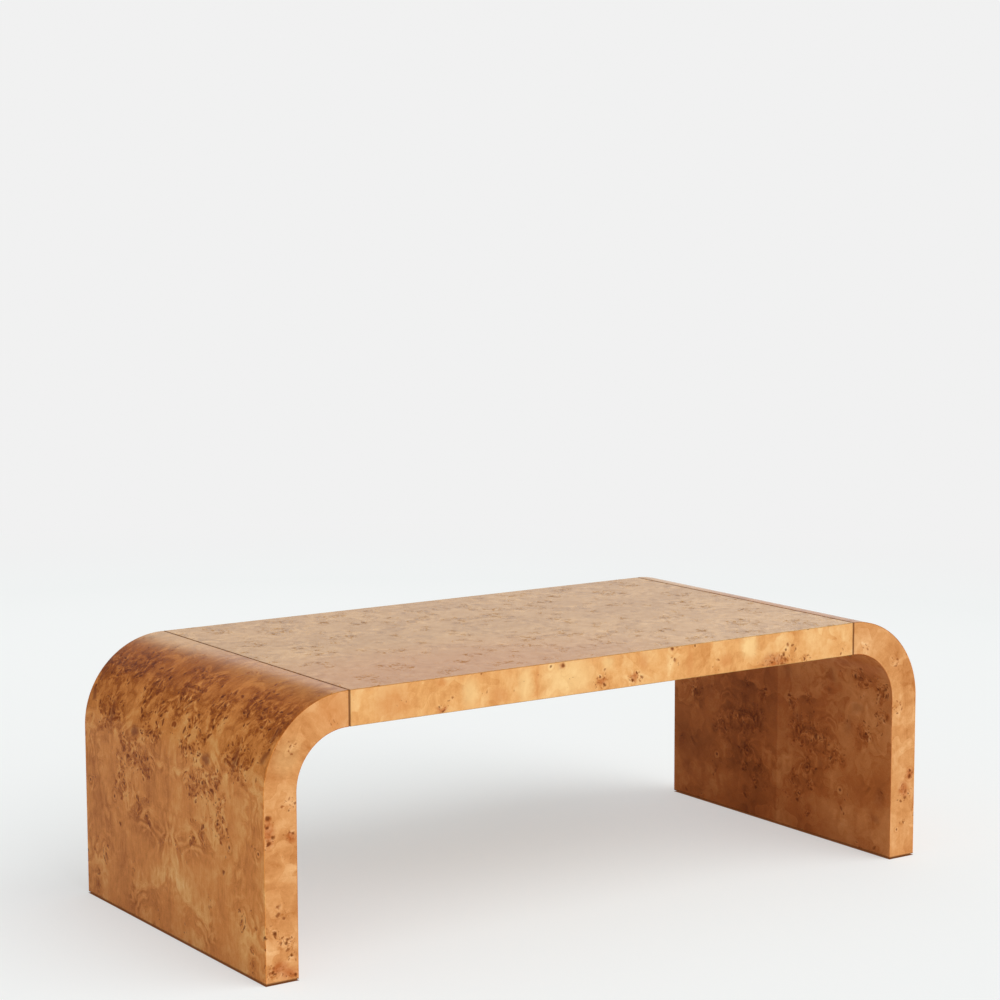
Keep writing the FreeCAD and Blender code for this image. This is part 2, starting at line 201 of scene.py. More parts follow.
def lay_leaf(piece, place):
    """Gives the piece a UV map in metres, as its veneer leaf lies on it."""
    leaf = piece.data.uv_layers.new(name="leaf")
    for loop in piece.data.loops:
        leaf.data[loop.index].uv = place(piece.data.vertices[loop.vertex_index].co)


def at_side(point):
    return abs(abs(point.y) - HALF_DEPTH) < NEAR


def at_end(a, b):
    """Whether an edge lies at a seam or at the foot."""
    at_seam = any(abs(abs(a.x) - x) < NEAR for x in (TOP_END_X, LEG_END_X))
    at_foot = max(a.z, b.z) < FOOT_Z + NEAR
    return at_foot or (at_seam and abs(a.x - b.x) < NEAR)


def rim_of(skin):
    """Picks the edges round the shown face of a sheet that lies skin deep."""
    def chosen(a, b):
        if any(abs(depth_under(point) - skin) > NEAR for point in (a, b)):
            return False
        return at_end(a, b) or (at_side(a) and abs(a.y - b.y) < NEAR)
    return chosen


def ends_of_strip(a, b):
    """Picks an edge strip's shown end edges, at a seam or at the foot."""
    return at_side(a) and at_side(b) and at_end(a, b)


def finish_piece(piece, node, chosen, place, material):
    """Eases and veneers the sheet that stands in for one node of the frame, and hides that node.
    """
    ease_edges(piece, chosen)
    lay_leaf(piece, place)
    piece.data.materials.clear()
    piece.data.materials.append(material)
    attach(piece, "root")
    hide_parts(node)


# ---------------------------------------------------------------- node helpers
def srgb(red, green, blue):
    """A colour given as 0 to 255, as the linear values that a node takes."""
    def linear(value):
        value /= 255
        return value / 12.92 if value <= 0.04045 else ((value + 0.055) / 1.055) ** 2.4
    return (linear(red), linear(green), linear(blue), 1.0)


class Finish:
    """A material whose nodes are added one line each. Below, f is the finish in hand."""

    def __init__(self, name):
        self.material = bpy.data.materials.new(name)
        self.material.use_nodes = True
        self.tree = self.material.node_tree
        self.shader = self.tree.nodes["Principled BSDF"]

    def feed(self, socket, value):
        """Links a socket to the output given as value, or else sets it."""
        if isinstance(value, bpy.types.NodeSocket):
            self.tree.links.new(value, socket)
        else:
            socket.default_value = value

    def add(self, kind, inputs=(), out=0, **settings):
        """Adds a node, fills its inputs by name or number, and returns one output."""
        node = self.tree.nodes.new(kind)
        for key, value in settings.items():
            setattr(node, key, value)
        for key, value in dict(inputs).items():
            self.feed(node.inputs[key], value)
        return node.outputs[out]

    def on_object(self):
        """Object coordinates, in metres."""
        return self.add("ShaderNodeTexCoord", out="Object")

    def math(self, operation, *values, clamp=False):
        return self.add("ShaderNodeMath", enumerate(values), operation=operation,
                        use_clamp=clamp)

    def vector(self, operation, *values, out="Vector"):
        return self.add("ShaderNodeVectorMath", enumerate(values), out, operation=operation)

    def scaled(self, vector, factor):
        return self.add("ShaderNodeVectorMath", {0: vector, "Scale": factor}, operation="SCALE")

    def combine(self, x, y, z):
        return self.add("ShaderNodeCombineXYZ", {0: x, 1: y, 2: z})

    def separate(self, vector):
        return tuple(self.add("ShaderNodeSeparateXYZ", {0: vector}).node.outputs)

    def noise(self, vector, scale, detail=2.0, roughness=0.5, distortion=0.0, out=0):
        return self.add("ShaderNodeTexNoise",
                        {"Vector": vector, "Scale": scale, "Detail": detail,
                         "Roughness": roughness, "Distortion": distortion}, out)

    def swing(self, vector, scale, detail=2.0, roughness=0.5):
        """Noise that swings to both sides of nought."""
        return self.math("SUBTRACT", self.noise(vector, scale, detail, roughness), 0.5)

    def wander(self, vector, scale, detail):
        """The same for a place: a shift that turns from spot to spot."""
        pull = self.noise(vector, scale, detail, out="Color")
        return self.vector("SUBTRACT", pull, (0.5, 0.5, 0.5))

    def cells(self, vector, scale):
        """Voronoi cells: the distance to the nearest point, and that cell's random colour."""
        distance = self.add("ShaderNodeTexVoronoi", {"Vector": vector, "Scale": scale},
                            voronoi_dimensions="2D")
        return distance, distance.node.outputs["Color"]

    def between(self, value, low, high, first=0.0, last=1.0, smooth=True):
        """Maps value from low..high to first..last, held at both ends."""
        kind = "SMOOTHSTEP" if smooth else "LINEAR"
        return self.add("ShaderNodeMapRange",
                        {"Value": value, "From Min": low, "From Max": high,
                         "To Min": first, "To Max": last}, interpolation_type=kind)

    def mix(self, share, first, second):
        """Mixes two colours, by the numbers of a Mix node's colour sockets."""
        return self.add("ShaderNodeMix", {0: share, 6: first, 7: second}, 2, data_type="RGBA")

    def ramp(self, value, stops):
        """Turns a value into a colour. Each stop is its place and its colour."""
        colour = self.add("ShaderNodeValToRGB", {0: value})
        marks = colour.node.color_ramp.elements
        while len(marks) < len(stops):
            marks.new(0.5)
        for mark, (position, shade) in zip(marks, stops):
            mark.position = position
            mark.color = shade
        return colour

    def bump(self, height, strength, distance):
        return self.add("ShaderNodeBump",
                        {"Height": height, "Strength": strength, "Distance": distance})

    def surface(self, **values):
        """Feeds the shader and returns the material."""
        sockets = {"colour": "Base Color", "roughness": "Roughness", "normal": "Normal",
                   "specular": "Specular IOR Level", "metallic": "Metallic"}
        for key, value in values.items():
            self.feed(self.shader.inputs[sockets[key]], value)
        return self.material


# ---------------------------------------------------------------- burl figure
# Marks on the leaves, in millimetres: middle across, middle along, half width, half length.
# A single eye has one size, the radius of its pip.
MM = 0.001
END_CLUSTERS = [
    (6, 128, 20, 30), (32, 88, 22, 16), (112, 125, 26, 26), (185, 98, 22, 22),
    (238, 114, 24, 26), (284, 122, 16, 26), (58, 155, 17, 11), (47, 192, 13, 16),
    (97, 175, 14, 11), (82, 206, 18, 9), (217, 190, 30, 26), (110, 247, 34, 18),
    (172, 280, 14, 30), (108, 325, 9, 15), (74, 345, 8, 12), (256, 472, 6, 4),
    (160, 236, 12, 14), (84, 268, 10, 14),
]
END_EYES = [
    (197, 328, 2.8), (55, 203, 2.4), (160, 300, 2.0), (287, 318, 1.8),
]
END_STAINS = [(290, 138, 10, 9), (288, 176, 8, 11), (206, 192, 7, 22), (120, 205, 12, 8)]
# A painted shade: a darker, yellower patch at the front of each crown, where less sheen shows.
CROWN_PAINTED_SHADE = [(-230, 20, 190, 40)]
# A painted sheen: a pale patch at the back of each crown.
CROWN_PAINTED_SHEEN = [(250, 10, 160, 36)]
INNER_CLUSTERS = [
    (40, 190, 11, 11), (90, 178, 13, 10), (88, 240, 34, 22), (160, 270, 20, 16),
    (85, 305, 15, 14), (95, 335, 10, 10), (50, 330, 9, 11), (62, 358, 9, 9), (90, 385, 10, 8),
    (235, 115, 18, 14), (280, 140, 13, 15), (280, 180, 11, 13), (240, 215, 15, 14),
]
INNER_EYES = [(175, 330, 2.6), (85, 305, 2.2), (240, 215, 2.2), (62, 358, 2.0)]
INNER_STAINS = [
    (220, 175, 13, 12), (195, 210, 11, 13), (275, 320, 13, 18), (265, 362, 13, 10),
    (120, 290, 10, 12), (60, 215, 12, 9), (150, 120, 14, 12), (30, 140, 12, 14),
]
TOP_CLUSTERS = [
    (74, 280, 12, 16), (42, 313, 9, 12), (3, 263, 8, 10), (153, 85, 9, 10),
    (183, 176, 10, 12), (124, 157, 7, 10), (180, 353, 11, 20), (212, 350, 10, 15),
    (116, 20, 11, 32), (60, 135, 7, 12), (255, 195, 8, 11), (160, 150, 9, 14),
    (240, 430, 15, 13), (95, 440, 11, 20), (262, 300, 10, 17), (30, 400, 8, 12),
    (215, 45, 10, 12),
]
TOP_EYES = [(146, 86, 2.6), (181, 172, 2.8), (178, 352, 2.8)]
# A painted shade on the top's front left, darker and browner, standing in for the weaker sheen
# there.
TOP_PAINTED_SHADE = [(-270, -300, 190, 340)]
FRONT_CLUSTERS = [
    (40, -32, 8, 10), (40, 31, 8, 10), (47, 326, 8, 22), (50, 393, 4, 9), (48, -338, 4, 7),
]
FRONT_EYES = [
    (6, -133, 2.2), (6, -110, 3.2), (3, 109, 3.2), (3, 156, 1.6), (47, -27, 2.4), (33, -37, 1.8),
    (46, 27, 2.2), (34, 36, 1.6), (38, 346, 3.0), (30, 350, 2.2), (49, 320, 2.0), (50, 392, 1.8),
]
FRONT_STAINS = [(48, 326, 12, 26), (40, -32, 7, 8), (40, 31, 7, 8), (6, -110, 6, 7),
                (50, -338, 5, 9), (3, 109, 4, 6)]
LEFT_EDGE_CLUSTERS = [
    (8, 226, 7, 12), (47, 248, 7, 7), (8, 252, 8, 7), (35, 412, 9, 10), (14, 392, 6, 8),
    (45, 432, 7, 7), (14, 452, 11, 9), (45, 462, 8, 6),
]
LEFT_EDGE_EYES = [
    (7, 218, 3.0), (6, 232, 2.6), (49, 246, 2.4), (8, 256, 3.2), (35, 411, 3.0), (15, 394, 2.2),
    (44, 431, 2.2), (50, 461, 2.2), (12, 452, 2.0),
]
LEFT_EDGE_STAINS = [(8, 240, 8, 22), (46, 250, 8, 9), (24, 449, 14, 11), (40, 458, 14, 8)]
LEFT_EDGE_PALES = [(26, 128, 22, 26)]
LEFT_EDGE_TANS = [(28, 28, 30, 34)]
RIGHT_EDGE_CLUSTERS = [(13, 324, 6, 7), (26, 352, 6, 8), (12, 356, 5, 6), (30, 410, 5, 5)]
RIGHT_EDGE_EYES = [(11, 318, 2.2), (12, 328, 3.0), (40, 420, 1.6)]
RIGHT_EDGE_STAINS = [(12, 324, 9, 11), (24, 350, 11, 12)]
BACK_CLUSTERS = [(20, -214, 9, 14), (44, 92, 7, 12), (14, 268, 8, 10), (34, 430, 9, 10)]
BACK_EYES = [(18, -220, 2.8), (45, 88, 2.4), (12, 262, 2.4), (36, 60, 2.0), (30, 424, 2.4)]
BACK_STAINS = [(20, -214, 10, 16), (14, 268, 9, 12)]
FRONT_PALES = [
    (28, -98, 28, 44), (30, -183, 26, 14), (12, -20, 12, 10), (16, 272, 18, 18),
    (30, -286, 22, 14),
]
FRONT_ORANGES = [
    (30, -425, 26, 34), (8, -338, 8, 12), (40, -232, 12, 16), (28, -160, 26, 4), (16, 50, 14, 11),
    (30, 146, 26, 6), (34, 220, 12, 12),
]

GROUND_STOPS = (0.0, 0.30, 0.60, 0.85, 1.0)


def shades(*colours):
    """A veneer's ground as the stops of a ramp, from its darkest wood to its palest."""
    return [(position, srgb(*colour)) for position, colour in zip(GROUND_STOPS, colours)]


DEEP = shades((112, 48, 8), (168, 91, 28), (216, 136, 66), (236, 173, 102), (244, 196, 136))
AMBER = shades((120, 70, 24), (168, 108, 44), (206, 146, 68), (230, 175, 102), (240, 194, 130))
SAND = shades((124, 80, 38), (175, 126, 68), (214, 165, 102), (236, 192, 138), (246, 208, 160))
# The inner sheets' ground, darker and redder than the outer sheets': painted shade in part, as
# they stand under the top.
SHADED_RUSSET = shades((84, 34, 12), (134, 70, 28), (184, 106, 52), (212, 140, 82), (226, 164, 108))
HONEY = shades((132, 66, 24), (182, 112, 56), (212, 148, 90), (230, 174, 118), (240, 194, 142))
PALE = shades((150, 80, 34), (200, 130, 68), (227, 167, 104), (240, 194, 134), (248, 210, 158))

# What the patches are coloured with.
RED_BROWN = srgb(112, 46, 18)
ORANGE = srgb(176, 88, 40)
TAN = srgb(208, 134, 74)
# The brown of the painted shade on the top's front left.
SHADE_FAWN = srgb(178, 108, 36)
# The yellow-brown of the painted shade at the front of the crown.
SHADE_OCHRE = srgb(160, 92, 14)
# The pale of the painted sheen at the back of the crown.
SHEEN_WHEAT = srgb(214, 172, 112)
CREAM = srgb(248, 214, 152)

# Browns of the sheets' stained ends, of the boards at the bottom of a seam, and of the glue
# where two leaves meet. A stain is full as far as STAIN_FULL and gone by its end, in metres.
EDGE_STAIN = srgb(104, 56, 18)
SEAM_STAIN = srgb(150, 84, 28)
GLUE = srgb(96, 52, 24)
STAIN_FULL = 0.0010
EDGE_STAIN_END = 0.0026
SEAM_STAIN_END = 0.0020
GLUE_HALF_WIDTH = 0.0004

# How fine each part of the figure is: its scale, in features to the metre.
CLOUDS = 9
SWELLS = 11
STRETCHES = 15
ISLANDS = 21
DRIFTS = 28
RIBS = 36
THREADS = 50
RAGGED_RIMS = 55
MOTTLES = 62
CURLS = 85
FIBRES = 260
FLECKS = 420

# How far the figure is pushed about, in metres.
CURL_BY = 0.013
PATCH_DRIFT_BY = 0.06

# Stretches along an end's leaf, from the seam: where the bend's darker belt comes in, where it
# dies away, and where the crown's own ground does. The belt is painted shade in part, where the
# bend turns from the light, and darker wood in part.
BELT_START = (0.005, 0.060)
BELT_END = (0.070, 0.190)
CROWN_END = (0.012, 0.085)

# The growth lines: how far an eye lifts them, and how close together they lie.
BULGE_BY = 0.10
WAVE_TURNS = 36.0
LINES = 34.0

# The tone of plain wood, and how much the parts that every burl has add to it.
MIDDLE_TONE = 0.60
THREAD_BY = -0.16
HALO_BY = 0.04
SPECK_HALO_BY = 0.024
LONE_HALO_BY = 0.07
LONE_RING_BY = -0.08
FLECK_BY = 0.20

# Specks are finer than the eyes by this much.
SPECKS_FINER = 1.9

LACQUER_ROUGHNESS = 0.19
LACQUER_SPECULAR = 0.04


def nearest_mark(f, leaf, marks, soften):
    """Distance to the nearest mark in its own half sizes, so 1 is the rim of that mark."""
    nearest = None
    for across, along, half_width, half_length in marks:
        size = (1 / (half_width * MM), 1 / (half_length * MM), 0)
        shift = (-across / half_width, -along / half_length, 0)
        local = f.add("ShaderNodeMapping", {"Vector": leaf, "Location": shift, "Scale": size})
        away = f.vector("LENGTH", local, out="Value")
        if nearest is None:
            nearest = away
        elif soften:
            nearest = f.math("SMOOTH_MIN", nearest, away, soften)
        else:
            nearest = f.math("MINIMUM", nearest, away)
    return nearest


def crowding(f, flat, soft, clusters, scatter):
    """Where the eyes crowd: in the clusters, with ragged rims, and thinly in small islands."""
    away = nearest_mark(f, soft, clusters, 0.25)
    ragged = f.math("MULTIPLY_ADD", f.swing(flat, RAGGED_RIMS), 2.2, away)
    crowd = f.between(ragged, 2.0, 0.5)
    islands, island_chance = f.cells(soft, ISLANDS)
    island_luck, _, _ = f.separate(island_chance)
    few = f.math("MULTIPLY", f.between(islands, 0.36, 0.10), f.between(island_luck, 0.45, 0.55))
    return f.math("MAXIMUM", crowd, f.math("MULTIPLY", few, scatter))


def eyes(f, curled, crowd, scale, least, most, dense):
    """Small eyes where they crowd, each a dark pip with a pale halo.

    least and most are the size of a pip, as a share of its cell, and dense is how many cells
    have one where they crowd most. Returns the distance to the nearest eye, its own shade, the
    pips and the halos.
    """
    spread, chance = f.cells(curled, scale)
    luck, size, shade = f.separate(chance)
    there = f.between(f.math("SUBTRACT", f.math("MULTIPLY", crowd, dense), luck), -0.04, 0.06)
    full_size = f.between(size, 0.0, 1.0, least, most, smooth=False)
    radius = f.math("MULTIPLY", full_size, there)
    ratio = f.math("DIVIDE", spread, f.math("MAXIMUM", radius, 0.02))
    shown = f.between(radius, 0.04, 0.12)
    pip = f.math("MULTIPLY", f.between(ratio, 1.7, 0.4), shown)
    halo = f.math("MULTIPLY", f.between(ratio, 3.4, 1.6), shown)
    return spread, shade, pip, f.math("SUBTRACT", halo, pip)


def single_eyes(f, place, mottle, eyes_alone):
    """Large eyes on their own: a pip, a pale halo and a faint ring, none quite round."""
    marks = [(across, along, size, size) for across, along, size in eyes_alone]
    away = f.math("MULTIPLY_ADD", mottle, 1.6, nearest_mark(f, place, marks, 0))
    pip = f.between(away, 1.5, 0.5)
    halo = f.math("MULTIPLY", f.between(away, 1.2, 1.9), f.between(away, 3.6, 2.2))
    ring = f.math("MULTIPLY", f.between(away, 2.6, 3.4), f.between(away, 4.6, 3.6))
    return away, pip, halo, ring


def growth_lines(f, flat, soft, spread, crowd, away):
    """Contours of a height that bulges round the eyes: broad waves and fine lines."""
    height = f.noise(soft, SWELLS, detail=3, distortion=0.8)
    bulge = f.math("MULTIPLY", f.between(spread, 0.0, 0.8, 1.0, 0.0), crowd)
    height = f.math("MULTIPLY_ADD", bulge, BULGE_BY, height)
    height = f.math("MULTIPLY_ADD", f.between(away, 8.0, 0.0), BULGE_BY, height)
    wave = f.math("SINE", f.math("MULTIPLY", height, WAVE_TURNS))
    line = f.math("SUBTRACT", f.math("FRACT", f.math("MULTIPLY", height, LINES)), 0.5)
    strong = f.between(f.noise(flat, STRETCHES), 0.38, 0.62)
    return f.math("MULTIPLY", wave, strong), f.math("MULTIPLY", line, strong)


def threads(f, curled, crowd):
    """Dark threads that wind between the eyes."""
    wind = f.noise(curled, THREADS, distortion=0.5)
    wind = f.math("ABSOLUTE", f.math("SUBTRACT", wind, 0.5))
    return f.math("MULTIPLY", f.between(wind, 0.05, 0.0), crowd)


def patched(f, place, patches, colour):
    """Mixes soft patches into colour. Each is its marks, its own colour and its share."""
    for marks, wash, share in patches:
        spot = f.between(nearest_mark(f, place, marks, 0.2), 1.6, 0.3, 0.0, share)
        colour = f.mix(spot, colour, wash)
    return colour


def stained_ends(f, along, ends, colour, rough):
    """Darkens and dulls a leaf at its cut ends, which lie that far along it."""
    for end in ends:
        away = f.math("ABSOLUTE", f.math("SUBTRACT", f.math("ABSOLUTE", along), end))
        dark = f.between(away, STAIN_FULL, EDGE_STAIN_END, 0.65, 0.0)
        dull = f.between(away, STAIN_FULL, EDGE_STAIN_END, 0.3, 0.0)
        colour = f.mix(dark, colour, EDGE_STAIN)
        rough = f.math("ADD", rough, dull, clamp=True)
    return colour, rough


def burl(name, ground, clusters, eyes_alone, washes=(), once=(), matched="", cut=0.0,
         stained_at=(), crown=None,
         drift_by=0.030, tone_by=0.0, bend_shade_by=0.0, cloud_by=0.75, patch_by=0.14, patch_scale=24,
         wave_by=0.16, line_by=0.06, mottle_by=0.15, crowd_mottle=1.05, crowd_by=0.08,
         pip_dark=srgb(86, 36, 10), pip_light=srgb(138, 66, 22), pip_share=0.80,
         scatter=0.35, eye_scale=72, ribs=None, rib_by=0.50, fibre_by=0.12, front_leaf_light_by=0.02,
         ripple=1.0, dull_by=0.2):
    """Burl veneer.

    ground is its colours from dark to pale. washes are soft patches: each is its marks, its
    colour and its share, and once is the same for patches that don't mirror. matched says which
    way the leaves mirror: 'across', 'both' or ''. cut shifts the pattern, as a deeper cut of the
    same burl does. stained_at is how far along the leaf its stained ends lie, and crown is the
    ground that it has next to the seam. The rest is how strong each part of the figure is. ribs
    stretches a cross figure, and ripple is how far the figure stands through the lacquer.
    """
    f = Finish(name)
    leaf = f.add("ShaderNodeUVMap", uv_map="leaf")
    side, along, _ = f.separate(leaf)
    across = f.math("ABSOLUTE", side) if matched else side
    if matched == "both":
        along = f.math("ABSOLUTE", along)
    flat = f.combine(across, along, cut)
    drift = f.wander(flat, DRIFTS, detail=1)
    curl = f.scaled(f.wander(flat, CURLS, detail=2), CURL_BY)
    soft = f.vector("ADD", flat, f.scaled(drift, drift_by))
    curled = f.vector("ADD", soft, curl)

    crowd = crowding(f, flat, soft, clusters, scatter)
    spread, shade, pip, halo = eyes(f, curled, crowd, eye_scale,
                                    least=0.12, most=0.27, dense=0.95)
    _, _, speck, speck_halo = eyes(f, curled, crowd, eye_scale * SPECKS_FINER,
                                   least=0.16, most=0.34, dense=0.85)

    # fibre that turns: soft clouds, patches, and a mottle that is strongest round the eyes
    cloud = f.swing(flat, CLOUDS, detail=4, roughness=0.55)
    patch_place = f.vector("ADD", flat, f.scaled(drift, PATCH_DRIFT_BY))
    _, patch_colour = f.cells(patch_place, patch_scale)
    patch, _, _ = f.separate(patch_colour)
    mottle = f.swing(curled, MOTTLES, detail=3, roughness=0.6)
    mottle_share = f.math("MULTIPLY_ADD", crowd, crowd_mottle, mottle_by)
    fleck = f.swing(curled, FLECKS, detail=3)

    lone_place = f.vector("ADD", flat, f.scaled(curl, 0.35))
    away, lone_pip, lone_halo, lone_ring = single_eyes(f, lone_place, mottle, eyes_alone)
    wave, line = growth_lines(f, flat, soft, spread, crowd, away)

    # the tone is the sum of all these parts, each by its share
    tone = f.math("MULTIPLY_ADD", cloud, cloud_by, MIDDLE_TONE + tone_by)
    parts = [
        (f.math("SUBTRACT", patch, 0.5), patch_by), (wave, wave_by * 0.5), (line, line_by),
        (f.math("MULTIPLY", mottle, mottle_share), 1.0), (crowd, -crowd_by),
        (threads(f, curled, crowd), THREAD_BY), (halo, HALO_BY), (speck_halo, SPECK_HALO_BY),
        (lone_halo, LONE_HALO_BY), (lone_ring, LONE_RING_BY), (fleck, FLECK_BY),
    ]
    # a darker belt round the bend: painted shade in part, darker wood in part
    if bend_shade_by:
        belt = f.math("MULTIPLY", f.between(along, *BELT_START, 0.85, 1.0),
                      f.between(along, *BELT_END, 1.0, 0.0))
        parts.append((belt, -bend_shade_by))
    if ribs:
        rib_place = f.vector("MULTIPLY", flat, ribs)
        parts.append((f.swing(rib_place, FIBRES), fibre_by))
        parts.append((f.swing(rib_place, RIBS), rib_by))
    if matched:
        # the front leaf is painted lighter: its turned-over fibres catch the light a little more,
        # and in part this is painted light falling from the front
        parts.append((f.between(side, -0.003, 0.003, 1.0, -1.0), front_leaf_light_by))
    for value, share in parts:
        tone = f.math("MULTIPLY_ADD", value, share, tone)

    colour = f.ramp(tone, ground)
    if crown:
        colour = f.mix(f.between(along, *CROWN_END, 0.75, 0.0), colour, f.ramp(tone, crown))
    colour = patched(f, curled, washes, colour)
    colour = patched(f, leaf, once, colour)
    pip_colour = f.ramp(shade, [(0.0, pip_dark), (1.0, pip_light)])
    colour = f.mix(f.math("MULTIPLY", speck, pip_share * 0.8), colour, pip_light)
    colour = f.mix(f.math("MULTIPLY", pip, pip_share), colour, pip_colour)
    colour = f.mix(f.math("MULTIPLY", lone_pip, pip_share), colour, pip_dark)
    if matched:
        glue = f.between(across, 0.0, GLUE_HALF_WIDTH, 0.2, 0.0)
        colour = f.mix(glue, colour, GLUE)

    # the lacquer is duller where it sinks into a pip
    rough = f.math("MULTIPLY_ADD", fleck, 0.08, LACQUER_ROUGHNESS)
    rough = f.math("MULTIPLY_ADD", mottle, -dull_by, rough)
    rough = f.math("MULTIPLY_ADD", f.math("MAXIMUM", pip, speck), 0.28, rough)
    colour, rough = stained_ends(f, along, stained_at, colour, rough)
    relief = f.math("MULTIPLY_ADD", pip, -0.4, f.math("MULTIPLY", fleck, 0.25))
    relief = f.math("MULTIPLY_ADD", mottle, ripple, relief)
    normal = f.bump(relief, strength=0.10, distance=0.0003)
    return f.surface(colour=colour, roughness=rough, normal=normal, specular=LACQUER_SPECULAR)


# ---------------------------------------------------------------- other finishes
PLY_PAIR = 0.003


def stained_at_seams(f, place, colour):
    """Mixes the seam stain into colour where a board lies at the bottom of a seam."""
    x, _, _ = f.separate(place)
    away = f.math("ABSOLUTE", f.math("SUBTRACT", f.math("ABSOLUTE", x), SEAM_X))
    return f.mix(f.between(away, STAIN_FULL, SEAM_STAIN_END, 0.9, 0.0), colour, SEAM_STAIN)


def plain_board(name):
    """Fibreboard: fine fibres with no direction, over soft clouds."""
    f = Finish(name)
    place = f.on_object()
    fibre = f.noise(place, 700, detail=3, roughness=0.6)
    cloud = f.noise(place, 30)
    tone = f.math("MULTIPLY_ADD", cloud, 0.35, f.math("MULTIPLY", fibre, 0.65))
    colour = f.ramp(tone, [(0.3, srgb(150, 112, 76)), (0.7, srgb(186, 146, 104))])
    colour = stained_at_seams(f, place, colour)
    return f.surface(colour=colour, roughness=0.85,
                     normal=f.bump(fibre, strength=0.2, distance=0.0003))


def timber(name, dark, light, grain):
    """Straight-grained timber. grain is how the figure is stretched, per axis."""
    f = Finish(name)
    place = f.on_object()
    stretched = f.vector("MULTIPLY", place, grain)
    rings = f.noise(stretched, 60, detail=3, roughness=0.6, distortion=0.4)
    fibre = f.noise(stretched, 500)
    tone = f.math("MULTIPLY_ADD", fibre, 0.3, f.math("MULTIPLY", rings, 0.7))
    colour = f.ramp(tone, [(0.3, dark), (0.7, light)])
    colour = stained_at_seams(f, place, colour)
    return f.surface(colour=colour, roughness=0.6,
                     normal=f.bump(fibre, strength=0.15, distance=0.0003))


def plies(name):
    """Bending plywood, with its plies as stripes across the thickness at the foot."""
    f = Finish(name)
    place = f.on_object()
    x, _, _ = f.separate(place)
    wave = f.math("SINE", f.math("MULTIPLY", x, 2 * math.pi / PLY_PAIR))
    fibre = f.noise(f.vector("MULTIPLY", place, (1, 0.1, 1)), 500)
    tone = f.math("MULTIPLY_ADD", wave, 0.25, fibre)
    colour = f.ramp(tone, [(0.25, srgb(168, 128, 84)), (0.75, srgb(214, 178, 130))])
    colour = stained_at_seams(f, place, colour)
    return f.surface(colour=colour, roughness=0.75,
                     normal=f.bump(fibre, strength=0.2, distance=0.0003))


def metal(name, base, rough):
    """Bare metal with fine turning marks."""
    f = Finish(name)
    turning = f.noise(f.vector("MULTIPLY", f.on_object(), (0.2, 1, 1)), 900)
    colour = f.mix(f.between(turning, 0.3, 0.7, 0.0, 0.25), base, srgb(120, 116, 108))
    roughness = f.between(turning, 0.3, 0.7, rough, rough + 0.12)
    return f.surface(colour=colour, roughness=roughness, metallic=1.0,
                     normal=f.bump(turning, strength=0.1, distance=0.0001))


def moulded(name, dark, light, rough):
    """Plastic with a fine moulded grain."""
    f = Finish(name)
    place = f.on_object()
    grain = f.noise(place, 1400, detail=3)
    cloud = f.noise(place, 80)
    tone = f.math("MULTIPLY_ADD", grain, 0.4, f.math("MULTIPLY", cloud, 0.6))
    colour = f.ramp(tone, [(0.3, dark), (0.7, light)])
    return f.surface(colour=colour, roughness=rough,
                     normal=f.bump(grain, strength=0.25, distance=0.0002))


slot_finishes = {
    "bending_plywood": plies("bending plywood"),
    "panel_board": plain_board("fibreboard panel"),
    "rib_board": plain_board("fibreboard rib"),
    "frame_timber": timber("poplar", srgb(176, 142, 96), srgb(214, 186, 138), (1, 0.06, 1)),
    "dowel_beech": timber("beech", srgb(196, 150, 104), srgb(224, 186, 140), (0.08, 1, 1)),
    "insert_metal": metal("turned brass", srgb(214, 182, 108), 0.3),
    "plated_steel": metal("zinc plated steel", srgb(196, 196, 192), 0.32),
    "cap_plastic": moulded("brown cap plastic", srgb(92, 54, 30), srgb(108, 66, 38), 0.5),
    "glide_nylon": moulded("dark nylon", srgb(44, 33, 26), srgb(58, 45, 36), 0.45),
}
for part in frame["record"]["subparts"]:
    if part["material_slot"] in slot_finishes:
        for slot in frame["nodes"][part["node"]].material_slots:
            slot.material = slot_finishes[part["material_slot"]]


# ---------------------------------------------------------------- burl finishes
OUTER_FOOT = run_down_leg(FOOT_Z, OUTER_RADIUS)
MIDDLE_FOOT = run_down_leg(FOOT_Z, MIDDLE_RADIUS)
INNER_FOOT = run_down_leg(FOOT_Z, INNER_RADIUS)

# How the cross figure is stretched on an edge strip.
ACROSS_STRIP = (0.25, 1, 1)
ALONG_STRIP = (1, 0.12, 1)

TOP = {
    "matched": "both", "stained_at": (TOP_END_X,), "scatter": 0.8, "crowd_by": 0.05,
    "pip_dark": srgb(122, 76, 26), "pip_light": srgb(150, 98, 38), "pip_share": 0.16,
    "mottle_by": 0.42, "crowd_mottle": 0.50, "tone_by": -0.18, "cloud_by": 0.25,
    "patch_by": 0.06, "wave_by": 0.18, "line_by": 0.22, "ripple": 5.0, "dull_by": 0.35,
}
STRIP = {
    "drift_by": 0.006, "wave_by": 0.10, "line_by": 0.05, "cloud_by": 0.7, "mottle_by": 0.38,
    "scatter": 0.2, "eye_scale": 96, "crowd_by": 0.04, "patch_by": 0.18, "patch_scale": 38,
    "pip_dark": srgb(108, 52, 18), "pip_light": srgb(158, 88, 42), "pip_share": 0.8,
    "rib_by": 0.34, "fibre_by": 0.14,
}
TOP_STRIP = {**STRIP, "stained_at": (TOP_END_X,), "ribs": ACROSS_STRIP}
LEG_STRIP = {**STRIP, "stained_at": (0, MIDDLE_FOOT), "scatter": 0.45}

